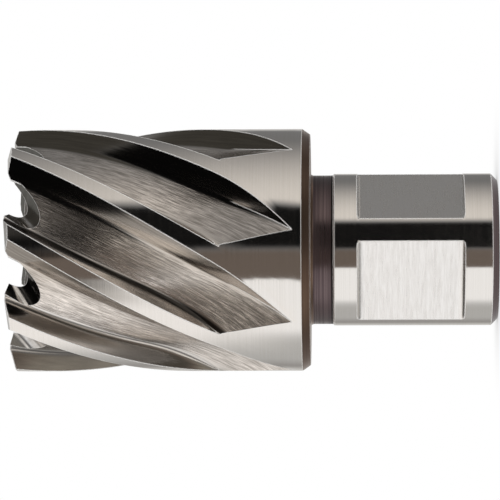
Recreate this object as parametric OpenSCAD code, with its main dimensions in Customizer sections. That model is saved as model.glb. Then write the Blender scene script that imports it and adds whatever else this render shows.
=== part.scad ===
// Annular cutter: a fluted tube with ground teeth on a round driving shank, all one piece of tool steel.
// It stands on its shank end with the teeth up. The axis is Z, and the two driving flats face -Y and +X.
// Turned first, then the flats are milled, the flutes milled on a helix, and the teeth and gullets ground.

/* [Shank] */
// Diameter of the round shank
shank_d = 19.05; // [18:0.05:20]
// Length of the shank from its end to its shoulder
shank_l = 20.55; // [19:0.05:24]
// Length of the bevel round the shank end
end_bevel_l = 0.8; // [0.4:0.05:1.4]
// Radial height of the bevel round the shank end
end_bevel_h = 0.85; // [0.4:0.05:1.4]
// Depth that each driving flat is milled below the round
flat_depth = 1.85; // [1.4:0.05:2.2]
// Length of each driving flat along the shank
flat_l = 13.3; // [11:0.1:15]
// Distance of the driving flats from the shank end
flat_start = 4.25; // [3.5:0.05:5]
// Radius left by the milling cutter at the ends of each flat
flat_r = 0.4; // [0.2:0.05:0.8]
// Bevel on the edge of the shank shoulder
shoulder_bevel = 0.15; // [0.1:0.05:0.3]
// Length of the relieved neck behind the body
neck_l = 2.85; // [2:0.05:4]
// Radial depth of the neck below the shank
neck_cut = 0.185; // [0.1:0.005:0.5]
// Fillet between the neck and the back of the body
neck_fillet = 0.4; // [0.2:0.05:0.8]

/* [Body] */
// Diameter over the lands, which is the size of hole it cuts
cut_d = 30.4; // [29:0.1:32]
// Length of the body from its back face to the tooth tips
body_l = 37.65; // [36:0.05:42]
// Length of the bevel round the back of the body
back_bevel_l = 1; // [0.5:0.05:1.5]
// Radial height of the bevel round the back of the body
back_bevel_h = 0.7; // [0.4:0.05:1]
// Thickness of the wall between the lands and the slug bore
wall_t = 4.05; // [3.7:0.05:4.6]
// Thickness of the web between the slug bore and the back face
web_t = 5.65; // [4.5:0.05:8]
// Bevel round the bottom of the slug bore
bore_bevel = 0.8; // [0.4:0.1:1.2]
// Diameter of the pilot pin hole through the web and shank
pilot_d = 6.4; // [6:0.05:7]
// Bevel at both mouths of the pilot pin hole
pilot_bevel = 0.5; // [0.3:0.05:0.8]

/* [Flutes] */
// Number of teeth, each with its own flute
teeth = 8; // [7:1:9]
// Angle of the first leading edge from the second flat, at the tooth tips
tooth_turn = -0.9; // [-20:0.1:20]
// Helix angle of the leading edges
helix_angle = 29.8; // [26:0.1:33]
// Extra helix angle of the floors, which widens the lands towards the shank
heel_lag = 0.8; // [0:0.1:1.5]
// Width of each land at the tooth tips
land_w = 1.86; // [1.5:0.02:2.4]
// Run of the leading wall between the land and the floor
rake_w = 0.75; // [0.4:0.05:1.2]
// Run of the sloping heel wall between the floor and the next land
heel_w = 2.25; // [1.6:0.05:2.8]
// Depth of the flute beside its leading wall
flute_depth = 2.6; // [2.2:0.05:2.9]
// Depth of the flute beside its heel wall
heel_depth = 2.15; // [1.9:0.05:2.5]
// Fillet between the leading wall and the floor
rake_fillet = 0.75; // [0.4:0.05:1]
// Fillet between the floor and the heel wall
heel_fillet = 0.3; // [0.2:0.05:0.6]
// Plain band between the end of the flutes and the back face
flute_stop = 2.1; // [1.6:0.05:4]
// How much sooner the flute ends on its leading side
flute_skew = 8.9; // [6:0.1:11]
// Length over which the floor lifts out to the surface
lift_l = 10; // [8:0.1:12]

/* [Teeth] */
// Radial distance of the tooth tips inside the lands
tip_in = 2.4; // [2.2:0.05:2.7]
// Distance of the tooth tips ahead of the leading edges
tip_ahead = 1.2; // [0.9:0.05:1.6]
// Bevel angle of the tooth end outside the tip
bevel_out = 13.4; // [9:0.1:18]
// Bevel angle of the tooth end inside the tip
bevel_in = 21; // [15:0.5:26]
// Relief angle of the tooth end behind its cutting edge
relief = 5; // [3:0.5:7]
// Radius of the round gullet in front of each tooth
gullet_r = 1.95; // [1.7:0.05:2.1]
// Distance of the gullet axis ahead of the leading edge, along the floor
gullet_ahead = 3.2; // [3:0.05:3.5]
// Distance of the gullet axis below the tooth tips, at the floor
gullet_drop = 1.5; // [1.2:0.05:2]
// Fall of the gullet towards the shank, going outwards
gullet_slope = 33; // [28:0.5:38]
// Lean of the gullet back towards its own tooth, going outwards
gullet_sweep = 51; // [45:0.5:55]
// Turn of the gullet's open side about its own axis
gullet_roll = 34; // [28:0.5:40]

/* [Hidden] */
$fn = 96;
steel = [0.62, 0.6, 0.58];
shank_r = shank_d / 2;
neck_r = shank_r - neck_cut;
body_r = cut_d / 2;
bore_r = body_r - wall_t;
pilot_r = pilot_d / 2;
back_z = shank_l + neck_l;
tip_z = back_z + body_l;
web_z = back_z + web_t;
pitch = 360 / teeth;
// degrees that each millimetre round the lands takes up
per_mm = 180 / (PI * body_r);
edge_twist = tan(helix_angle) * per_mm;
floor_twist = tan(helix_angle + heel_lag) * per_mm;
rake_a = rake_w * per_mm;
heel_span = heel_w * per_mm;
heel_a = pitch - (land_w + heel_w) * per_mm;
// corners of the flute floor at full depth, and where its fillets end
rake_p = (body_r - flute_depth) * [cos(rake_a), sin(rake_a)];
heel_p = (body_r - heel_depth) * [cos(heel_a), sin(heel_a)];
floor_w = norm(heel_p - rake_p);
f_rake = rake_fillet / floor_w;
f_heel = 1 - heel_fillet / floor_w;
wall_up = 1 - rake_fillet / flute_depth;
wall_p = (body_r - flute_depth * wall_up) * [cos(rake_a * wall_up), sin(rake_a * wall_up)];
climb = heel_fillet / heel_depth;
climb_a = heel_a + heel_span * climb;
climb_p = (body_r - heel_depth * (1 - climb)) * [cos(climb_a), sin(climb_a)];
// heights above the lands to which the flute shapes run, clear of the metal
rake_over = 1;
heel_over = 0.6;
lid_over = 3;

function floor_p(f) = rake_p + f * (heel_p - rake_p);
function bow(a, b, c, u) = pow(1 - u, 2) * a + 2 * u * (1 - u) * b + u * u * c;
// one station across the flute: angle, depth below the land, share across the floor, share of its twist
function station(p, f, w) = [atan2(p[1], p[0]), body_r - norm(p), f, w];
stations = concat(
    [station(wall_p, 0, wall_up)],
    [for (u = [0.35, 0.7]) station(bow(wall_p, rake_p, floor_p(f_rake), u), f_rake * u * u, 1)],
    [for (k = [0:4]) let (f = f_rake + (f_heel - f_rake) * k / 4) station(floor_p(f), f, 1)],
    [station(bow(floor_p(f_heel), heel_p, climb_p, 0.5), 1, 1), station(climb_p, 1, 1)]);

// share of the full depth left at a distance s behind the tips
function lift(t) = t >= 1 ? 1 : t >= 0 ? 1 - pow(1 - t, 2) : max(2 * t, -0.35);
function left(f, s) = lift((body_l - flute_stop - flute_skew * (1 - f) - s) / lift_l);
function on_circle(r, a, s) = [r * cos(a), r * sin(a), tip_z - s];
function twist(w, s) = ((1 - w) * edge_twist + w * floor_twist) * s;
// closed outline of the flute at a distance s behind the tips: lid, leading wall, floor, heel wall
function section(s) = let (g = left(1, s), over = rake_over / flute_depth) concat(
    [on_circle(body_r + lid_over, (heel_a + heel_span) / 2 - twist(0.5, s), s)],
    [on_circle(body_r + rake_over, -rake_a * over - twist(-over, s), s)],
    [for (q = stations) on_circle(body_r - q[1] * left(q[2], s), q[0] - twist(q[3], s), s)],
    [on_circle(body_r + heel_over + heel_depth * max(0, -g),
        heel_a + heel_span * (max(g, 0) + heel_over / heel_depth) - twist(1, s), s)]);

// the flute outline at levels from above the tips to beyond its end, closer where the floor lifts
s_lift = body_l - flute_stop - flute_skew - lift_l;
s_last = body_l - flute_stop + 1.2;
levels = concat([for (k = [0:7]) -2 + (s_lift + 2) * k / 8],
    [for (k = [0:18]) s_lift + (s_last - s_lift) * k / 18]);
ring = len(stations) + 3;
last = len(levels) - 1;
flute_points = [for (s = levels) each section(s)];
flute_faces = concat([[for (j = [0:ring - 1]) j]],
    [[for (j = [0:ring - 1]) last * ring + (ring - j) % ring]],
    [for (i = [0:last - 1], j = [0:ring - 1]) let (a = i * ring + j, b = i * ring + (j + 1) % ring)
        each [[b, a, a + ring], [b, a + ring, b + ring]]]);

color(steel) cutter();

// The whole cutter: turned blank with the flats, flutes, gullets and tooth ends cut from it.
module cutter() {
    difference() {
        blank();
        for (turn = [-90, 0]) rotate(turn) flat_cut();
        for (i = [0:teeth - 1]) rotate(tooth_turn + i * pitch) {
            polyhedron(flute_points, flute_faces, convexity = 6);
            gullet_cut();
            tooth_end_cut();
        }
    }
}

// Turned blank: shank, neck, body, slug bore and pilot pin hole.
module blank() {
    rotate_extrude() polygon([
        [pilot_r + pilot_bevel, 0], [shank_r - end_bevel_h, 0], [shank_r, end_bevel_l],
        [shank_r, shank_l - shoulder_bevel], [shank_r - shoulder_bevel, shank_l], [neck_r, shank_l],
        [neck_r, back_z - neck_fillet], [neck_r + 0.29 * neck_fillet, back_z - 0.29 * neck_fillet],
        [neck_r + neck_fillet, back_z], [body_r - back_bevel_h, back_z], [body_r, back_z + back_bevel_l],
        [body_r, tip_z + 0.5], [bore_r, tip_z + 0.5], [bore_r, web_z + bore_bevel],
        [bore_r - bore_bevel, web_z], [pilot_r + pilot_bevel, web_z], [pilot_r, web_z - pilot_bevel],
        [pilot_r, pilot_bevel]]);
}

// Slot that leaves one driving flat, square across the shank, with rounded ends to its floor.
module flat_cut() {
    reach = flat_depth + 2;
    translate([shank_r - flat_depth, 0, flat_start])
        rotate([90, 0, 0]) linear_extrude(height = shank_d, center = true) {
            translate([0, flat_r]) square([reach, flat_l - 2 * flat_r]);
            translate([flat_r, 0]) square([reach - flat_r, flat_l]);
            for (y = [flat_r, flat_l - flat_r]) translate([flat_r, y]) circle(r = flat_r);
        }
}

// Round-bottomed gullet through the wall under the flute floor, open towards the tooth tips.
module gullet_cut() {
    floor_r = body_r - flute_depth;
    intersection() {
        translate([0, 0, tip_z - 9]) cylinder(r = body_r - heel_depth, h = 12);
        rotate(gullet_ahead * 180 / (PI * floor_r)) translate([floor_r, 0, tip_z - gullet_drop])
            rotate(-gullet_ahead * 180 / (PI * floor_r)) rotate([0, gullet_slope, -gullet_sweep])
                rotate([-gullet_roll, 0, 0]) rotate([90, 0, 90])
                    translate([0, 0, -6.5]) linear_extrude(height = 12.5) {
                        circle(r = gullet_r);
                        translate([-gullet_r, 0]) square([2 * gullet_r, 9]);
                    }
    }
}

// Metal ground off above one tooth end, which leaves a roof that falls away behind the cutting edge.
module tooth_end_cut() {
    tip_r = body_r - tip_in;
    tip_a = tip_ahead * 180 / (PI * tip_r);
    far = body_r + 2;
    near = bore_r - 2;
    mid_a = gullet_ahead * 180 / (PI * (body_r - flute_depth)) + 3;
    difference() {
        translate([0, 0, tip_z - 3]) linear_extrude(height = 6)
            polygon(concat([[0, 0]], [for (k = [0:6]) let (a = mid_a - pitch * k / 6)
                (body_r + 3) * [cos(a), sin(a)]]));
        rotate(tip_a) translate([tip_r, 0, tip_z]) rotate([relief, 0, 0])
            rotate([90, 0, 0]) linear_extrude(height = 50, center = true)
                polygon([[0, 0], [far - tip_r, -(far - tip_r) * tan(bevel_out)], [far - tip_r, -9],
                    [near - tip_r, -9], [near - tip_r, -(tip_r - near) * tan(bevel_in)]]);
        translate([0, 0, tip_z - 4]) cylinder(r = near, h = 8);
    }
}
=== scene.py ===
import bmesh
import bpy
import numpy as np
from mathutils import Matrix, Vector


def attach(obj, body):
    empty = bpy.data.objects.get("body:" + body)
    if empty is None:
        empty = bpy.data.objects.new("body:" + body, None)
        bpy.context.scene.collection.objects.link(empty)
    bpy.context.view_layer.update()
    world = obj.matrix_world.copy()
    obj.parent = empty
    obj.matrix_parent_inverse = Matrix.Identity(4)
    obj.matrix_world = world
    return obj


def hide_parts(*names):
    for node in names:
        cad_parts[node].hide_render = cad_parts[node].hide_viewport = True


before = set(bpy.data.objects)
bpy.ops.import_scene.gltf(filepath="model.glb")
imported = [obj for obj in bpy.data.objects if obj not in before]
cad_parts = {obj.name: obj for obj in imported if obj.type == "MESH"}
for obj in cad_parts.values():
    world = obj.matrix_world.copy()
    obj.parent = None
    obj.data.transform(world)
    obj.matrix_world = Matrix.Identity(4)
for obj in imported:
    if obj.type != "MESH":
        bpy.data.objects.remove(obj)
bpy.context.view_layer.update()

# Steel finishes. The whole cutter is one piece of hardened tool steel, so every finish is the same warm grey
# metal. What differs is how each face was last cut: ground round, milled along a flute's floor or walls, milled
# flat, ground at the teeth, or left turned or bored and darkened by the scale and heat of hardening.


def steel_grain_group():
    """Streaks of one cutting direction: a noise in two scales, on a vector that each finish stretches along its cut.
    It puts out the tinted colour, the roughness, how metallic the face is, and a normal that carries the fine
    scratches and rounds each edge by the given radius. Where the rounded normal leaves the true one, the edge is
    painted pale, matt and less metallic: a painted highlight along the edge. Bare metal is how metallic the rest of
    the face is: 1, or less under scale."""
    g = bpy.data.node_groups.new("steel_grain", "ShaderNodeTree")
    number, hue, vector = "NodeSocketFloat", "NodeSocketColor", "NodeSocketVector"
    for name, kind in (("Vector", vector), ("Pale", hue), ("Dull", hue), ("Least rough", number),
                       ("Most rough", number), ("Scratch depth", number), ("Edge radius", number),
                       ("Bare metal", number)):
        g.interface.new_socket(name, in_out="INPUT", socket_type=kind)
    for name, kind in (("Color", hue), ("Roughness", number), ("Metallic", number), ("Normal", vector)):
        g.interface.new_socket(name, in_out="OUTPUT", socket_type=kind)
    n, link = g.nodes, g.links.new
    gin, gout = n.new("NodeGroupInput"), n.new("NodeGroupOutput")
    fine, broad, both = n.new("ShaderNodeTexNoise"), n.new("ShaderNodeTexNoise"), n.new("ShaderNodeMix")
    fine.inputs["Scale"].default_value, fine.inputs["Detail"].default_value = 1.0, 3.0
    broad.inputs["Scale"].default_value, broad.inputs["Detail"].default_value = 0.40, 2.0
    both.data_type = "FLOAT"
    both.inputs[0].default_value = 0.45
    link(gin.outputs["Vector"], fine.inputs["Vector"])
    link(gin.outputs["Vector"], broad.inputs["Vector"])
    link(fine.outputs["Fac"], both.inputs[2])
    link(broad.outputs["Fac"], both.inputs[3])
    spread = n.new("ShaderNodeMapRange")
    spread.inputs["From Min"].default_value, spread.inputs["From Max"].default_value = 0.39, 0.61
    link(both.outputs[0], spread.inputs["Value"])
    tint = n.new("ShaderNodeMix")
    tint.data_type = "RGBA"
    link(spread.outputs["Result"], tint.inputs["Factor"])
    link(gin.outputs["Pale"], tint.inputs[6])
    link(gin.outputs["Dull"], tint.inputs[7])
    rough = n.new("ShaderNodeMix")
    rough.data_type = "FLOAT"
    link(spread.outputs["Result"], rough.inputs[0])
    link(gin.outputs["Least rough"], rough.inputs[2])
    link(gin.outputs["Most rough"], rough.inputs[3])
    # Edges are painted near white, matt and less metallic: a painted highlight along every rounded edge.
    edge_highlight_color, edge_highlight_rough, edge_highlight_metal = (0.97, 0.95, 0.93, 1), 0.5, 0.15
    no_lean, full_lean = 0.998, 0.965
    soft, true, lean = n.new("ShaderNodeBevel"), n.new("ShaderNodeNewGeometry"), n.new("ShaderNodeVectorMath")
    edge, edge_highlight_mix = n.new("ShaderNodeMapRange"), n.new("ShaderNodeMix")
    soft.samples = 6
    lean.operation = "DOT_PRODUCT"
    link(gin.outputs["Edge radius"], soft.inputs["Radius"])
    link(soft.outputs["Normal"], lean.inputs[0])
    link(true.outputs["Normal"], lean.inputs[1])
    edge.inputs["From Min"].default_value, edge.inputs["From Max"].default_value = no_lean, full_lean
    link(lean.outputs["Value"], edge.inputs["Value"])
    edge_highlight_mix.data_type = "RGBA"
    edge_highlight_mix.inputs[7].default_value = edge_highlight_color
    link(edge.outputs["Result"], edge_highlight_mix.inputs["Factor"])
    link(tint.outputs[2], edge_highlight_mix.inputs[6])
    link(edge_highlight_mix.outputs[2], gout.inputs["Color"])
    highlight_matt_mix = n.new("ShaderNodeMix")
    highlight_matt_mix.data_type = "FLOAT"
    highlight_matt_mix.inputs[3].default_value = edge_highlight_rough
    link(edge.outputs["Result"], highlight_matt_mix.inputs[0])
    link(rough.outputs[0], highlight_matt_mix.inputs[2])
    link(highlight_matt_mix.outputs[0], gout.inputs["Roughness"])
    bare = n.new("ShaderNodeMapRange")
    bare.inputs["To Max"].default_value = edge_highlight_metal
    link(gin.outputs["Bare metal"], bare.inputs["To Min"])
    link(edge.outputs["Result"], bare.inputs["Value"])
    link(bare.outputs["Result"], gout.inputs["Metallic"])
    bump = n.new("ShaderNodeBump")
    bump.inputs["Strength"].default_value = 1.0
    link(gin.outputs["Scratch depth"], bump.inputs["Distance"])
    link(fine.outputs["Fac"], bump.inputs["Height"])
    link(soft.outputs["Normal"], bump.inputs["Normal"])
    link(bump.outputs["Normal"], gout.inputs["Normal"])
    return g


def painted_foot_shade_group():
    """Painted shade at the foot of a flute's leading wall: a near black band that stands in for the shade and dark
    reflection in the fillet there. V over the tooth pitch numbers the flute by its whole part, and by its fraction
    gives the place across it: no painted shade on the wall, all of it in the fillet, fading out over the floor. Each
    flute keeps its own share of the painted shade."""
    g = bpy.data.node_groups.new("painted_foot_shade", "ShaderNodeTree")
    g.interface.new_socket("Vector", in_out="INPUT", socket_type="NodeSocketVector")
    g.interface.new_socket("Steel", in_out="INPUT", socket_type="NodeSocketColor")
    g.interface.new_socket("Color", in_out="OUTPUT", socket_type="NodeSocketColor")
    pitches_per_m, share_step = 8 / (2 * np.pi * 0.0152), 0.70
    # The near black colour is painted shade for the fillet at the foot of a flute.
    most_painted_shade, painted_shade_color = 0.96, (0.020, 0.017, 0.014, 1)
    n, link = g.nodes, g.links.new
    gin, gout, axes = n.new("NodeGroupInput"), n.new("NodeGroupOutput"), n.new("ShaderNodeSeparateXYZ")
    place, within, number, turn, share = (n.new("ShaderNodeMath") for _ in range(5))
    place.operation, within.operation, number.operation = "MULTIPLY", "FRACT", "FLOOR"
    turn.operation, share.operation = "MULTIPLY", "FRACT"
    place.inputs[1].default_value, turn.inputs[1].default_value = pitches_per_m, share_step
    rise, fall, shade_share = (n.new("ShaderNodeMapRange") for _ in range(3))
    for node, none, full in ((rise, 0.038, 0.056), (fall, 0.132, 0.096), (shade_share, 0.25, 0.85)):
        node.inputs["From Min"].default_value, node.inputs["From Max"].default_value = none, full
    shade_share.inputs["To Max"].default_value = most_painted_shade
    # This mix lays the painted shade over the steel's colour.
    edges, mask, scale = n.new("ShaderNodeMath"), n.new("ShaderNodeMath"), n.new("ShaderNodeMix")
    edges.operation = mask.operation = "MULTIPLY"
    scale.data_type = "RGBA"
    scale.inputs[7].default_value = painted_shade_color
    link(gin.outputs["Vector"], axes.inputs["Vector"])
    link(axes.outputs["Y"], place.inputs[0])
    link(place.outputs[0], within.inputs[0])
    link(place.outputs[0], number.inputs[0])
    link(number.outputs[0], turn.inputs[0])
    link(turn.outputs[0], share.inputs[0])
    link(share.outputs[0], shade_share.inputs["Value"])
    link(within.outputs[0], rise.inputs["Value"])
    link(within.outputs[0], fall.inputs["Value"])
    link(rise.outputs["Result"], edges.inputs[0])
    link(fall.outputs["Result"], edges.inputs[1])
    link(edges.outputs[0], mask.inputs[0])
    link(shade_share.outputs["Result"], mask.inputs[1])
    link(mask.outputs[0], scale.inputs["Factor"])
    link(gin.outputs["Steel"], scale.inputs[6])
    link(scale.outputs[2], gout.inputs["Color"])
    return g


steel_grain, painted_foot_shade = steel_grain_group(), painted_foot_shade_group()


def steel(name, pale, dull, rough, scratch_mm, edge_mm, stretch, flute_map=False, bare=1.0):
    """One finish of the steel: two colours and a range of roughness for the streaks, the depth of the scratches and
    the radius of the rounded edges, which are painted pale as a highlight. stretch is the number of streaks per
    metre along each axis of its own pattern: the object's X, Y and Z, or along and across the flute where the
    streaks follow the helix and shade is painted dark at the foot of the leading wall. bare is how metallic the face
    is."""
    mat = bpy.data.materials.new(name)
    mat.use_nodes = True
    n, link = mat.node_tree.nodes, mat.node_tree.links.new
    shader = n["Principled BSDF"]
    place, streaks, grain = n.new("ShaderNodeTexCoord"), n.new("ShaderNodeMapping"), n.new("ShaderNodeGroup")
    streaks.inputs["Scale"].default_value = stretch
    grain.node_tree = steel_grain
    link(place.outputs["UV" if flute_map else "Object"], streaks.inputs["Vector"])
    link(streaks.outputs["Vector"], grain.inputs["Vector"])
    grain.inputs["Pale"].default_value = (*pale, 1)
    grain.inputs["Dull"].default_value = (*dull, 1)
    grain.inputs["Least rough"].default_value, grain.inputs["Most rough"].default_value = rough
    grain.inputs["Scratch depth"].default_value = scratch_mm * 0.001
    grain.inputs["Edge radius"].default_value = edge_mm * 0.001
    grain.inputs["Bare metal"].default_value = bare
    link(grain.outputs["Color"], shader.inputs["Base Color"])
    if flute_map:
        # On the flutes the colour then takes the painted shade at the foot of the leading wall.
        dark = n.new("ShaderNodeGroup")
        dark.node_tree = painted_foot_shade
        link(place.outputs["UV"], dark.inputs["Vector"])
        link(grain.outputs["Color"], dark.inputs["Steel"])
        link(dark.outputs["Color"], shader.inputs["Base Color"])
    link(grain.outputs["Roughness"], shader.inputs["Roughness"])
    link(grain.outputs["Metallic"], shader.inputs["Metallic"])
    link(grain.outputs["Normal"], shader.inputs["Normal"])
    return mat


ROUND, FLUTE, WALL, TOOTH, TURNED, NECK, SHOULDER_SHADE, FLAT, INSIDE, OPEN = range(10)
finishes = [
    steel("ground_round", (0.76, 0.73, 0.70), (0.735, 0.705, 0.67), (0.08, 0.12), 0.0005, 0.19, (40, 40, 9000)),
    steel("milled_flute", (0.88, 0.82, 0.77), (0.46, 0.425, 0.39), (0.15, 0.27), 0.0360, 0.06, (520, 5600, 1),
          flute_map=True),
    steel("milled_wall", (0.72, 0.68, 0.64), (0.56, 0.525, 0.49), (0.12, 0.18), 0.0060, 0.19, (230, 5600, 1),
          flute_map=True),
    steel("ground_tooth", (0.62, 0.60, 0.58), (0.46, 0.44, 0.42), (0.12, 0.20), 0.0008, 0.05, (900, 900, 900)),
    steel("turned_brown", (0.32, 0.225, 0.175), (0.23, 0.155, 0.125), (0.24, 0.36), 0.0012, 0.07, (40, 40, 6000)),
    steel("turned_neck", (0.18, 0.135, 0.135), (0.10, 0.075, 0.08), (0.22, 0.36), 0.0012, 0.07, (40, 40, 6000)),
    # Near black on the last of the neck and on the shoulder face: painted shade in the corner under the shoulder.
    steel("painted_shoulder_shade", (0.03, 0.025, 0.025), (0.02, 0.016, 0.016), (0.30, 0.45), 0.0012, 0.07, (40, 40, 6000)),
    steel("milled_flat", (0.83, 0.81, 0.79), (0.80, 0.775, 0.75), (0.21, 0.28), 0.0008, 0.28, (500, 500, 6000)),
    steel("bored_inside", (0.20, 0.18, 0.165), (0.11, 0.10, 0.09), (0.28, 0.42), 0.0015, 0.10, (50, 50, 4000),
          bare=0.3),
]


def in_steel(mesh):
    """Gives a mesh every finish in the order of their numbers, so that meshes can be cut and joined."""
    for finish in finishes:
        mesh.materials.append(finish)


# Outside skin. A turned tube whose flutes are milled on a right-hand helix: each has a steep leading wall, a flat
# floor that lifts out to the surface at its far end, and a sloping heel. Below it come the bevelled back, the
# relieved neck and the round shank with two milled flats, all turned from the same bar. Lengths are in mm.

body_r, tip_z, back_z = 15.2, 61.05, 23.4
teeth, tooth_turn = 8, -0.9
pitch, per_mm = 45.0, np.degrees(1 / body_r)
edge_helix, floor_helix = 29.8, 30.6
edge_twist, floor_twist = np.tan(np.radians(edge_helix)) * per_mm, np.tan(np.radians(floor_helix)) * per_mm
rake_w, land_w, heel_w = 0.75, 1.86, 2.25
rake_a, heel_span, heel_a = rake_w * per_mm, heel_w * per_mm, pitch - (land_w + heel_w) * per_mm
flute_depth, heel_depth, rake_fillet, heel_fillet = 2.6, 2.15, 0.75, 0.3
flute_end, flute_skew, lift_l = 35.55, 8.9, 10.0
spread_l, spread_share = 1.1, 0.5


def polar(r, a):
    """Points at radius r and angle a in degrees, in the plane across the axis."""
    return np.stack([r * np.cos(np.radians(a)), r * np.sin(np.radians(a))], -1)


def flute_stations():
    """Columns across the cut part of a pitch: down the leading wall, round its fillet and along the flat floor.
    Each has an angle, a depth, a place across and a share of the floor's twist."""
    rake_p, heel_p = polar(body_r - flute_depth, rake_a), polar(body_r - heel_depth, heel_a)
    wide = np.linalg.norm(heel_p - rake_p)
    up = 1 - rake_fillet / flute_depth
    wall = np.linspace(0, up, 4)
    start = polar(body_r - flute_depth * up, rake_a * up)
    first = rake_p + rake_fillet / wide * (heel_p - rake_p)
    u = np.linspace(0, 1, 7)[1:, None]
    bow = (1 - u) ** 2 * start + 2 * u * (1 - u) * rake_p + u ** 2 * first
    f = np.linspace(rake_fillet / wide, 1 - heel_fillet / wide, 13)[1:, None]
    floor = rake_p + f * (heel_p - rake_p)
    points = np.concatenate([bow, floor])
    angle = np.concatenate([wall * rake_a, np.degrees(np.arctan2(points[:, 1], points[:, 0]))])
    depth = np.concatenate([wall * flute_depth, body_r - np.linalg.norm(points, axis=1)])
    across = np.concatenate([np.zeros(4), (u[:, 0] ** 2) * rake_fillet / wide, f[:, 0]])
    share = np.concatenate([wall, up + (1 - up) * u[:, 0], np.ones(len(floor))])
    return angle, depth, across, share


cut_angle, cut_depth, cut_across, cut_share = flute_stations()
heel_q = np.array([0.06, 0.16, 0.36, 0.58, 0.8, 1.0])
land_q = np.linspace(0, 1, 8)[1:-1]
n_cut, n_heel, n_land = len(cut_angle), len(heel_q), len(land_q)
n_pitch = n_cut + n_heel + n_land
n_col = n_pitch * teeth


def lift(t):
    """Share of the full flute depth: all of it until the floor starts to lift, then a smooth rise to the surface."""
    return np.where(t >= 1, 1.0, np.where(t >= 0, 1 - (1 - np.clip(t, 0, 1)) ** 2, 0.0))


def spread(s):
    """Past the end of the flute the columns of the heel part again, so that the faces there keep a width."""
    return np.clip((s - flute_end) / spread_l, 0, 1) * spread_share


def pitch_skin(s):
    """One pitch of skin at distances s behind the tips, one column of s for each station.
    Angles follow the helix, so they fall by the twist for each mm; depths shrink as the floor lifts."""
    end = flute_end - flute_skew * (1 - cut_across)
    sc, sh, sl = s[:, :n_cut], s[:, n_cut:n_cut + n_heel], s[:, n_cut + n_heel:]
    a_cut = cut_angle - ((1 - cut_share) * edge_twist + cut_share * floor_twist) * sc
    r_cut = body_r - cut_depth * lift((end - sc) / lift_l)
    open_h = lift((flute_end - sh) / lift_l)
    a_heel = heel_a + heel_span * heel_q * (open_h + spread(sh)) - floor_twist * sh
    r_heel = body_r - heel_depth * (1 - heel_q) * open_h
    open_l = lift((flute_end - sl) / lift_l) + spread(sl)
    a_from, a_to = heel_a + heel_span * open_l - floor_twist * sl, pitch - edge_twist * sl
    a_land = a_from + (a_to - a_from) * land_q
    r_land = np.full_like(a_land, body_r)
    return np.concatenate([a_cut, a_heel, a_land], 1), np.concatenate([r_cut, r_heel, r_land], 1)


def all_round(a, r, z):
    """Repeats one pitch of angles, radii and heights round all the teeth."""
    turns = tooth_turn + pitch * np.arange(teeth)
    a = (a[:, None, :] + turns[None, :, None]).reshape(len(a), -1)
    r, z = np.tile(r, (1, teeth)), np.tile(z, (1, teeth))
    return a, r, z


across = np.concatenate([cut_across, np.ones(n_heel), 1 - land_q])
s_end = flute_end - flute_skew * (1 - across)
back_bevel = 1.0
s_split, s_back = 7.5, tip_z - back_z - back_bevel
rows_a = s_split + (s_end - lift_l - s_split) * np.linspace(0, 1, 13)[:, None]
rows_b = s_end - lift_l * (1 - np.linspace(0, 1, 19)[1:, None])
rows_c = s_end + (s_back - s_end) * np.linspace(0, 1, 8)[1:, None]
s_rows = np.concatenate([rows_a, rows_b, rows_c])
skin_a, skin_r = pitch_skin(s_rows)
skin_a, skin_r, skin_z = all_round(skin_a, skin_r, tip_z - s_rows)
n_wall = 9
pitch_kind = np.repeat([WALL, FLUTE, WALL, ROUND], [n_wall, n_cut - n_wall - 1, n_heel, n_land + 1])
skin_kind = np.tile(pitch_kind, teeth)
skin_kinds = np.tile(skin_kind, (len(s_rows) - 1, 1))
skin_kinds[len(rows_a) + len(rows_b) - 1:] = ROUND

shank_r, neck_r, shank_l = 9.525, 9.34, 20.55
flat_depth, flat_from, flat_to, flat_r = 1.85, 4.25, 17.55, 0.4
pilot_r, bore_r, web_z, bore_from = 3.2, 11.15, 29.05, 29.85
flat_half = np.degrees(np.arccos((shank_r - flat_depth) / shank_r))


def flat_edges(a):
    """Moves the columns nearest to the four long edges of the flats exactly on to those edges."""
    a = a.copy()
    for edge in (-90 - flat_half, -90 + flat_half, -flat_half, flat_half):
        off = (a - edge + 180) % 360 - 180
        a[np.argmin(np.abs(off))] -= off[np.argmin(np.abs(off))]
    return a


def shank_rows(a):
    """Shank from its shoulder to its end: a round cut off at the plane of each flat. Near the ends of the flats the
    plane rises on the cutter's corner radius, and beyond them there is no cut."""
    rise = flat_r * (1 - np.cos(np.radians(np.linspace(90, 0, 6))))
    into = flat_r * (1 - np.sin(np.radians(np.linspace(90, 0, 6))))
    clear = 5.0
    z = np.concatenate([[shank_l - 0.15], np.linspace(shank_l - 0.3, flat_to, 6), flat_to - into,
                        np.linspace(flat_to - 1, flat_from + 1, 14), (flat_from + into)[::-1],
                        np.linspace(flat_from, 0.8, 6)])
    lifted = np.concatenate([[clear] * 7, rise, np.zeros(14), rise[::-1], [clear] * 6])
    plane = (shank_r - flat_depth + lifted)[:, None]
    r = np.full((len(z), len(a)), shank_r)
    for normal in (-90.0, 0.0):
        off = (a - normal + 180) % 360 - 180
        facing = np.cos(np.radians(np.where(np.abs(off) < 60, off, 60)))
        r = np.where(np.abs(off) < 60, np.minimum(r, plane / facing), r)
    return r, np.repeat(z[:, None], len(a), 1)


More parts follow.
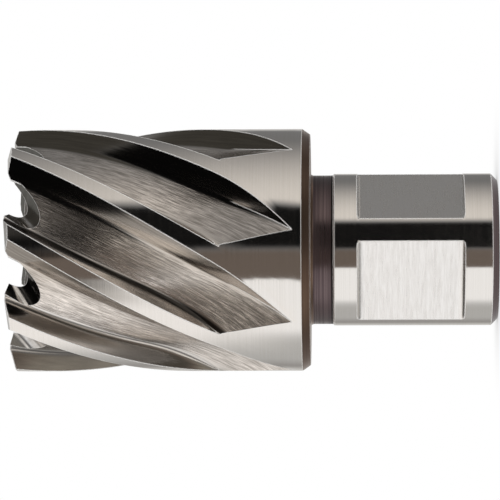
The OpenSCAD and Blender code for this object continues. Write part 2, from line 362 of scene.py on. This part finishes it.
last = skin_a[-1]
even = np.mean(last - 360 * np.arange(n_col) / n_col) + 360 * np.arange(n_col) / n_col
snapped = flat_edges(even)
back = np.array([(14.5, back_z), (9.74, back_z), (9.55, 23.36), (9.41, 23.2), (9.345, 23.02), (neck_r, 22.95),
                 (neck_r, 20.85), (neck_r, 20.8), (neck_r, shank_l), (9.375, shank_l)])
shank_rr, shank_zz = shank_rows(snapped)
inner = np.array([(8.675, 0), (3.7, 0), (pilot_r, 0.5), (pilot_r, 28.55), (3.7, web_z), (10.35, web_z),
                  (bore_r, bore_from)])
bore_z = np.linspace(bore_from, tip_z - s_split, 14)[1:]


def ring_rows(profile):
    """Rings of a turned profile of radius and height, one row for each corner."""
    return np.repeat(profile[:, :1], n_col, 1), np.repeat(profile[:, 1:], n_col, 1)


back_r, back_h = ring_rows(back)
in_r, in_h = ring_rows(inner)
bore_rr, bore_hh = ring_rows(np.stack([np.full(len(bore_z), bore_r), bore_z], 1))
bore_turn = np.linspace(0, 1, len(bore_z) + 1)[1:, None]
grid_a = np.concatenate([skin_a, last[None], np.repeat(even[None], len(back) - 1, 0),
                         np.repeat(snapped[None], len(shank_rr), 0), np.repeat(even[None], len(inner), 0),
                         even + (skin_a[0] - even) * bore_turn])
grid_r = np.concatenate([skin_r, back_r, shank_rr, in_r, bore_rr])
grid_z = np.concatenate([skin_z, back_h, shank_zz, in_h, bore_hh])
milled = shank_rr < shank_r - 1e-4
milled |= np.roll(milled, -1, 1)
on_flat = milled[:-1] | milled[1:]
# The two rows at the end of the neck take the painted shade of the shoulder corner.
kinds = np.concatenate([
    skin_kinds, np.full((5, n_col), TURNED), np.full((3, n_col), NECK), np.full((2, n_col), SHOULDER_SHADE),
    np.full((1, n_col), ROUND),
    np.where(on_flat, FLAT, ROUND), np.full((1, n_col), NECK), np.full((1, n_col), TURNED),
    np.full((len(inner) + len(bore_z) - 2, n_col), INSIDE)])
flute_u = np.concatenate([np.tile(s_rows, (1, teeth)) / np.cos(np.radians(edge_helix)),
                          np.zeros((len(grid_r) - len(s_rows), n_col))]) * 0.001
land_span = 7.0
run = np.concatenate([cut_angle, heel_a + heel_span * heel_q, pitch - (1 - land_q) * land_span])
flute_v = (run[None] + pitch * np.arange(teeth)[:, None]).reshape(-1) / per_mm * 0.001


def grid_mesh(name, a, r, z, kind, u, v):
    """Closed rings of points joined by quads: row by row, each ring closing on its own first column, and the last
    row closing on the first where there are as many rows of quads as of points."""
    rows, cols = r.shape
    xyz = np.stack([r * np.cos(np.radians(a)), r * np.sin(np.radians(a)), z], -1).reshape(-1, 3) * 0.001
    i, j = np.meshgrid(np.arange(len(kind)), np.arange(cols), indexing="ij")
    k, below = (j + 1) % cols, (i + 1) % rows
    quads = np.stack([i * cols + j, below * cols + j, below * cols + k, i * cols + k], -1).reshape(-1, 4)
    mesh = bpy.data.meshes.new(name)
    mesh.from_pydata(xyz, [], quads)
    mesh.polygons.foreach_set("material_index", kind.reshape(-1).astype(np.int32))
    uv = np.stack([u.reshape(-1)[quads.reshape(-1)], np.tile(v, rows)[quads.reshape(-1)]], -1)
    mesh.uv_layers.new(name="flute").data.foreach_set("uv", uv.reshape(-1).astype(np.float32))
    in_steel(mesh)
    return mesh


lower = grid_mesh("lower", grid_a, grid_r, grid_z, kinds, flute_u, flute_v)

# Tooth ring. The last few millimetres of the tube, where a round-bottomed gullet is ground through the wall in
# front of each tooth and the tooth ends are ground to a roof that falls away behind the cutting edge.

over, tube_rows = 1.2, 12
gullet_at_r, gullet_ahead = 12.6, 3.2
gullet_a = np.degrees(gullet_ahead / gullet_at_r)
ring_s = np.linspace(s_split, -over, 15)[::-1, None] * np.ones(n_pitch)
ring_a, ring_r = pitch_skin(ring_s)
ring_a, ring_r, ring_z = all_round(ring_a, ring_r, tip_z - ring_s)
tube_z = np.linspace(tip_z - s_split, tip_z + over, tube_rows)
tube_a = ring_a[-1] + (ring_a[0] - ring_a[-1]) * np.linspace(0, 1, tube_rows)[:, None]
block_a = np.concatenate([ring_a, tube_a])
block_r = np.concatenate([ring_r, np.full((tube_rows, n_col), bore_r)])
block_z = np.concatenate([ring_z, np.repeat(tube_z[:, None], n_col, 1)])
block_kind = np.concatenate([np.tile(skin_kind, (len(ring_s) - 1, 1)), np.full((1, n_col), OPEN),
                             np.full((tube_rows, n_col), INSIDE)])
block_u = np.concatenate([np.tile(ring_s, (1, teeth)) / np.cos(np.radians(edge_helix)),
                          np.zeros((tube_rows, n_col))]) * 0.001
block = grid_mesh("tooth_ring", block_a, block_r, block_z, block_kind, block_u, flute_v)


def turned_copies(points):
    """The same solid once for each tooth, turned about the axis."""
    a = np.radians(tooth_turn + pitch * np.arange(teeth))
    c, s = np.cos(a)[:, None], np.sin(a)[:, None]
    x, y, z = points[:, 0], points[:, 1], points[:, 2]
    return np.stack([c * x - s * y, s * x + c * y, np.tile(z, (teeth, 1))], -1).reshape(-1, 3)


def tool_object(name, points, faces, kind):
    """A grinding tool's swept shape, repeated for all the teeth, as an object that only cuts."""
    n = len(points)
    mesh = bpy.data.meshes.new(name)
    all_faces = [[i + n * t for i in f] for t in range(teeth) for f in faces]
    mesh.from_pydata(turned_copies(points) * 0.001, [], all_faces)
    in_steel(mesh)
    mesh.polygons.foreach_set("material_index", np.full(len(mesh.polygons), kind, np.int32))
    work = bmesh.new()
    work.from_mesh(mesh)
    bmesh.ops.recalc_face_normals(work, faces=work.faces)
    work.to_mesh(mesh)
    work.free()
    obj = bpy.data.objects.new(name, mesh)
    bpy.context.scene.collection.objects.link(obj)
    return obj


def gullet_tool():
    """A U-shaped section carried along a straight line that falls outwards and leans back to its own tooth."""
    radius, top, inward, outward, below_tip = 1.95, 9, 6.5, 6.0, 1.5
    slope, sweep, roll = np.radians([33.0, 51.0, 34.0])
    along = np.array([np.cos(slope) * np.cos(sweep), -np.cos(slope) * np.sin(sweep), -np.sin(slope)])
    side = np.array([np.sin(sweep), np.cos(sweep), 0])
    rise = np.array([np.sin(slope) * np.cos(sweep), -np.sin(slope) * np.sin(sweep), np.cos(slope)])
    wide, up = np.cos(roll) * side - np.sin(roll) * rise, np.sin(roll) * side + np.cos(roll) * rise
    a = np.radians(np.linspace(180, 360, 41))
    section = np.concatenate([[[-radius, top]], radius * np.stack([np.cos(a), np.sin(a)], 1), [[radius, top]]])
    centre = np.array([*polar(gullet_at_r, gullet_a), tip_z - below_tip])
    ring = centre + section[:, :1] * wide + section[:, 1:] * up
    m = len(ring)
    points = np.concatenate([ring - inward * along, ring + outward * along])
    faces = [[i, (i + 1) % m, m + (i + 1) % m, m + i] for i in range(m)]
    return points, faces + [list(range(m)), list(range(m, 2 * m))]


def roof_tool():
    """What is ground off above one tooth end: a wedge of a ring under which two planes meet at the tip line."""
    tip_r, tip_a = 12.8, np.degrees(1.2 / 12.8)
    wedge_in, wedge_out, gap_a = 9.0, 18.0, 0.01
    outer_fall, inner_fall, back_fall = (np.tan(np.radians(slope)) for slope in (13.4, 21.0, 5.0))
    ends = gullet_a + 3 - np.array([gap_a, pitch - gap_a])
    off = np.radians(ends - tip_a)
    radius = np.stack([np.full(2, wedge_in), tip_r / np.cos(off), np.full(2, wedge_out)], 1)
    local, t = radius * np.cos(off)[:, None] - tip_r, radius * np.sin(off)[:, None]
    fall = np.where(local > 0, local * outer_fall, -local * inner_fall)
    z = tip_z - fall + t * back_fall
    xy = polar(radius, ends[:, None])
    low = np.concatenate([xy, z[..., None]], -1).reshape(-1, 3)
    high = np.concatenate([xy, np.full(z.shape, tip_z + 4)[..., None]], -1).reshape(-1, 3)
    faces = [[0, 1, 4, 3], [1, 2, 5, 4], [6, 9, 10, 7], [7, 10, 11, 8], [0, 6, 7, 1], [1, 7, 8, 2],
             [3, 4, 10, 9], [4, 5, 11, 10], [0, 3, 9, 6], [2, 8, 11, 5]]
    return np.concatenate([low, high]), faces


def cut(obj, tool, operation):
    """Applies one exact boolean and gives the object its new mesh."""
    mod = obj.modifiers.new("cut", "BOOLEAN")
    mod.object, mod.operation, mod.solver, mod.material_mode = tool, operation, "EXACT", "INDEX"
    mod.use_self = operation == "INTERSECT"
    bpy.context.view_layer.update()
    new = bpy.data.meshes.new_from_object(obj.evaluated_get(bpy.context.evaluated_depsgraph_get()))
    obj.modifiers.clear()
    obj.data = new


gullets = tool_object("gullet_tool", *gullet_tool(), TOOTH)
core_xy = polar(body_r - heel_depth, np.arange(0, 360, 1.5))
core_low, core_high = tip_z - 9, tip_z + 3
core = bpy.data.meshes.new("gullet_limit")
m = len(core_xy)
core_points = np.concatenate([np.c_[core_xy, np.full(m, core_low)], np.c_[core_xy, np.full(m, core_high)]])
core_sides = [[i, (i + 1) % m, m + (i + 1) % m, m + i] for i in range(m)]
core.from_pydata(core_points * 0.001, [], core_sides + [list(range(m))[::-1], list(range(m, 2 * m))])
in_steel(core)
core.polygons.foreach_set("material_index", np.full(len(core.polygons), TOOTH, np.int32))
limit = bpy.data.objects.new("gullet_limit", core)
bpy.context.scene.collection.objects.link(limit)
cut(gullets, limit, "INTERSECT")
roofs = tool_object("roof_tool", *roof_tool(), TOOTH)
tooth_ring = bpy.data.objects.new("tooth_ring", block)
bpy.context.scene.collection.objects.link(tooth_ring)
cut(tooth_ring, roofs, "DIFFERENCE")
cut(tooth_ring, gullets, "DIFFERENCE")

# The tooth ring is welded to the rest. Points with only two edges are dissolved, because they would leave slivers
# that lie on each other when the faces are split into triangles.
weld, sharp_from = 2e-6, 24
joined = bmesh.new()
joined.from_mesh(tooth_ring.data)
bmesh.ops.delete(joined, geom=[f for f in joined.faces if f.material_index == OPEN], context="FACES")
joined.from_mesh(lower)
bmesh.ops.remove_doubles(joined, verts=joined.verts, dist=weld)
bmesh.ops.dissolve_degenerate(joined, dist=weld, edges=joined.edges)
bmesh.ops.dissolve_verts(joined, verts=[v for v in joined.verts if len(v.link_edges) == 2])
bmesh.ops.recalc_face_normals(joined, faces=joined.faces)
steel_mesh = bpy.data.meshes.new("cutter_steel")
joined.to_mesh(steel_mesh)
joined.free()
in_steel(steel_mesh)
for tool in (gullets, limit, roofs, tooth_ring):
    bpy.data.objects.remove(tool)
steel_mesh.polygons.foreach_set("use_smooth", np.ones(len(steel_mesh.polygons), bool))
steel_mesh.set_sharp_from_angle(angle=np.radians(sharp_from))
cutter = bpy.data.objects.new("cutter_steel", steel_mesh)
bpy.context.scene.collection.objects.link(cutter)
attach(cutter, "root")
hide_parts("cutter")

# Studio. A pale floor, and a dome of soft panels and strips, light and dark, that were placed for the camera's view
# and give polished steel its bands. Only reflections see the dome. A white world lights what isn't bare metal, such
# as the pale painted highlights on the edges and the dull bore.


def stage_mesh(name, points, faces):
    """A mesh that belongs to the studio and not to the part."""
    mesh = bpy.data.meshes.new(name)
    mesh.from_pydata(points, [], faces)
    obj = bpy.data.objects.new(name, mesh)
    bpy.context.scene.collection.objects.link(obj)
    return obj


def dome_light(azimuth, height):
    """Soft panels laid one over another on a dim dome. Each has its reach and the width of its soft edges, in
    degrees of azimuth from the camera and then of height above the horizon, and a warm or neutral brightness."""
    dim = 0.20
    panels = (((-181, -125), (1, 30), (-90, 90), (1, 1), (0.34, 0.33, 0.32)),
              ((-135, -90), (24, 16), (-20, 22), (14, 10), (0.53, 0.53, 0.52)),
              ((-89, -27), (22, 2), (-9, 5), (6, 3), (1.08, 1.08, 1.08)),
              ((-108, -27), (40, 2), (3.4, 22), (2, 10), (1.08, 1.06, 1.04)),
              ((-52, -24), (16, 2), (6.4, 22), (1, 8), (0.40, 0.38, 0.35)),
              ((-38, -24), (10, 2), (6.4, 14), (1, 4), (0.17, 0.16, 0.145)),
              ((-27, 0), (2, 8), (-90, 90), (1, 1), (0.16, 0.13, 0.11)),
              ((-40, -8), (8, 3), (16, 24), (3, 6), (0.84, 0.80, 0.735)),
              ((2, 41), (6, 5), (-90, 90), (1, 1), (0.006, 0.006, 0.006)),
              ((-7, 9), (3, 3), (7, 24), (3, 6), (0.006, 0.006, 0.006)),
              ((12, 48), (8, 10), (10, 20), (5, 6), (0.15, 0.14, 0.13)),
              ((45, 92), (8, 80), (-6, 12), (8, 24), (0.83, 0.79, 0.74)),
              ((-170, -48), (20, 16), (22, 90), (10, 1), (0.40, 0.38, 0.355)),
              ((-92, -46), (10, 10), (21, 34), (4, 4), (0.92, 0.88, 0.83)),
              ((-112, 48), (16, 14), (45, 90), (5, 1), (0.002, 0.002, 0.002)),
              ((-40, 44), (10, 8), (22, 90), (8, 1), (0.002, 0.002, 0.002)),
              ((-64, -30), (8, 8), (34, 90), (5, 1), (0.002, 0.002, 0.002)),
              ((46, 130), (10, 30), (25, 90), (10, 1), (0.055, 0.052, 0.045)),
              ((-181, -122), (1, 20), (30, 90), (8, 1), (0.16, 0.16, 0.15)),
              ((118, 181), (20, 1), (30, 90), (8, 1), (0.16, 0.16, 0.15)),
              ((31, 52), (4, 4), (-24, -10), (3, 3), (1.10, 1.06, 1.00)),
              ((-20, 32), (6, 4), (-17, -7.5), (4, 2), (1.06, 1.01, 0.95)),
              ((6, 27), (5, 3), (-25, -18), (3, 4), (0.30, 0.285, 0.265)),
              ((103, 128), (6, 6), (-30, -11), (6, 6), (0.50, 0.47, 0.43)),
              ((-5, 150), (20, 30), (-90, -31), (1, 5), (0.075, 0.068, 0.057)),
              ((80, 181), (20, 1), (-90, -40), (1, 6), (0.26, 0.245, 0.22)),
              ((160, 181), (14, 1), (-20, 26), (12, 8), (0.62, 0.61, 0.59)),
              ((-181, -152), (1, 20), (-20, 26), (12, 8), (0.62, 0.61, 0.59)),
              ((-181, -14), (1, 20), (-90, -42), (1, 6), (0.27, 0.25, 0.215)),
              ((-110, -52), (15, 10), (-75, -48), (6, 6), (0.45, 0.42, 0.37)),
              ((-34, -8), (5, 5), (-33, -21), (4, 3), (0.42, 0.40, 0.37)),
              ((-62, -34), (20, 5), (-34, -22), (5, 3), (1.05, 1.02, 0.98)))
    glow = np.full(azimuth.shape + (3,), dim)
    for az, az_soft, el, el_soft, level in panels:
        w = np.ones(azimuth.shape)
        for inside, soft in ((azimuth - az[0], az_soft[0]), (az[1] - azimuth, az_soft[1]),
                             (height - el[0], el_soft[0]), (el[1] - height, el_soft[1])):
            w = w * np.clip(inside / soft + 0.5, 0, 1)
        w = (w * w * (3 - 2 * w))[..., None]
        glow = glow * (1 - w) + np.array(level) * w
    return glow


cam_a = -60.0
dome_az, dome_el = np.meshgrid(np.radians(np.arange(0, 360, 1.0)), np.radians(np.linspace(-89.5, 89.5, 120)),
                               indexing="ij")
dome_points = np.stack([np.cos(dome_el) * np.cos(dome_az), np.cos(dome_el) * np.sin(dome_az), np.sin(dome_el)], -1)
na, ne = dome_az.shape
ii, jj = np.meshgrid(np.arange(na), np.arange(ne - 1), indexing="ij")
dome_faces = np.stack([ii * ne + jj, ((ii + 1) % na) * ne + jj, ((ii + 1) % na) * ne + jj + 1, ii * ne + jj + 1],
                      -1).reshape(-1, 4)
dome = stage_mesh("light_dome", dome_points.reshape(-1, 3), dome_faces)
glow = dome_light((np.degrees(dome_az) - cam_a + 180) % 360 - 180, np.degrees(dome_el)).reshape(-1, 3)
glow_layer = dome.data.attributes.new("glow", "FLOAT_COLOR", "POINT")
glow_layer.data.foreach_set("color", np.c_[glow, np.ones(len(glow))].reshape(-1).astype(np.float32))
dome_mat = bpy.data.materials.new("dome_light")
dome_mat.use_nodes = True
nodes, link = dome_mat.node_tree.nodes, dome_mat.node_tree.links.new
nodes.remove(nodes["Principled BSDF"])
level, lamp = nodes.new("ShaderNodeAttribute"), nodes.new("ShaderNodeEmission")
level.attribute_name = "glow"
link(level.outputs["Color"], lamp.inputs["Color"])
link(lamp.outputs["Emission"], nodes["Material Output"].inputs["Surface"])
dome.data.materials.append(dome_mat)
dome.visible_camera = False
dome.visible_shadow = False
dome.visible_diffuse = False

floor_r, floor_z, floor_white = 0.022, -1e-5, (0.85, 0.85, 0.85, 1)
shade_reach, shade_pale, fade_from, fade_to = 0.03, 0.45, 0.008, 0.0215
floor_xy = polar(floor_r, np.arange(0, 360, 5))
floor = stage_mesh("floor", np.c_[floor_xy, np.full(len(floor_xy), floor_z)], [list(range(len(floor_xy)))])
floor_mat = bpy.data.materials.new("pale_floor")
floor_mat.use_nodes = True
nodes, link = floor_mat.node_tree.nodes, floor_mat.node_tree.links.new
nodes.remove(nodes["Principled BSDF"])
ray, seen, seen_too = nodes.new("ShaderNodeLightPath"), nodes.new("ShaderNodeMath"), nodes.new("ShaderNodeMath")
seen.operation = seen_too.operation = "MAXIMUM"
link(ray.outputs["Is Camera Ray"], seen.inputs[0])
link(ray.outputs["Is Glossy Ray"], seen.inputs[1])
link(seen.outputs[0], seen_too.inputs[0])
link(ray.outputs["Is Transmission Ray"], seen_too.inputs[1])
shade, bright, matt, mix = (nodes.new("ShaderNodeAmbientOcclusion"), nodes.new("ShaderNodeEmission"),
                            nodes.new("ShaderNodeBsdfDiffuse"), nodes.new("ShaderNodeMixShader"))
where, far, fade, tone = (nodes.new("ShaderNodeTexCoord"), nodes.new("ShaderNodeVectorMath"),
                          nodes.new("ShaderNodeMapRange"), nodes.new("ShaderNodeMix"))
shade.inputs["Distance"].default_value = shade_reach
far.operation = "LENGTH"
link(where.outputs["Object"], far.inputs[0])
fade.inputs["From Min"].default_value, fade.inputs["From Max"].default_value = fade_from, fade_to
link(far.outputs["Value"], fade.inputs["Value"])
tone.data_type = "RGBA"
tone.inputs[7].default_value = (1, 1, 1, 1)
link(fade.outputs["Result"], tone.inputs["Factor"])
pale = nodes.new("ShaderNodeMix")
pale.data_type = "RGBA"
pale.inputs["Factor"].default_value = shade_pale
pale.inputs[7].default_value = (1, 1, 1, 1)
link(shade.outputs["Color"], pale.inputs[6])
link(pale.outputs[2], tone.inputs[6])
link(tone.outputs[2], bright.inputs["Color"])
matt.inputs["Color"].default_value = floor_white
link(seen_too.outputs[0], mix.inputs["Fac"])
link(matt.outputs["BSDF"], mix.inputs[1])
link(bright.outputs["Emission"], mix.inputs[2])
clear, rim = nodes.new("ShaderNodeBsdfTransparent"), nodes.new("ShaderNodeMixShader")
link(fade.outputs["Result"], rim.inputs["Fac"])
link(mix.outputs["Shader"], rim.inputs[1])
link(clear.outputs["BSDF"], rim.inputs[2])
link(rim.outputs["Shader"], nodes["Material Output"].inputs["Surface"])
floor.data.materials.append(floor_mat)

world = bpy.data.worlds.new("white_studio")
bpy.context.scene.world = world
world.use_nodes = True
world.node_tree.nodes["Background"].inputs["Color"].default_value = (1, 1, 1, 1)
world.node_tree.nodes["Background"].inputs["Strength"].default_value = 1.0
bpy.context.scene.view_settings.view_transform = "Standard"

# Camera. A long lens looks across the axis of the cutter from nearer its shank, and is turned on its side, so that
# the cutter lies across the picture with its teeth to the left.

eye_far, eye_z, aim_z, roll = 0.452, 0.01851, 0.03103, -0.2
toward = np.array([np.cos(np.radians(cam_a)), np.sin(np.radians(cam_a)), 0])
eye = Vector(eye_far * toward + [0, 0, eye_z])
aim = Vector([0, 0, aim_z])
back_axis = (eye - aim).normalized()
right = (Vector([0, 0, -1]) - back_axis * Vector([0, 0, -1]).dot(back_axis)).normalized()
upward = back_axis.cross(right)
turn = Matrix([right, upward, back_axis]).transposed().to_4x4()
lens = bpy.data.cameras.new("camera")
lens.lens, lens.sensor_width, lens.clip_start = 258.6, 36.0, 0.01
camera = bpy.data.objects.new("camera", lens)
camera.matrix_world = Matrix.Translation(eye) @ turn @ Matrix.Rotation(np.radians(roll), 4, "Z")
bpy.context.scene.collection.objects.link(camera)
bpy.context.scene.camera = camera
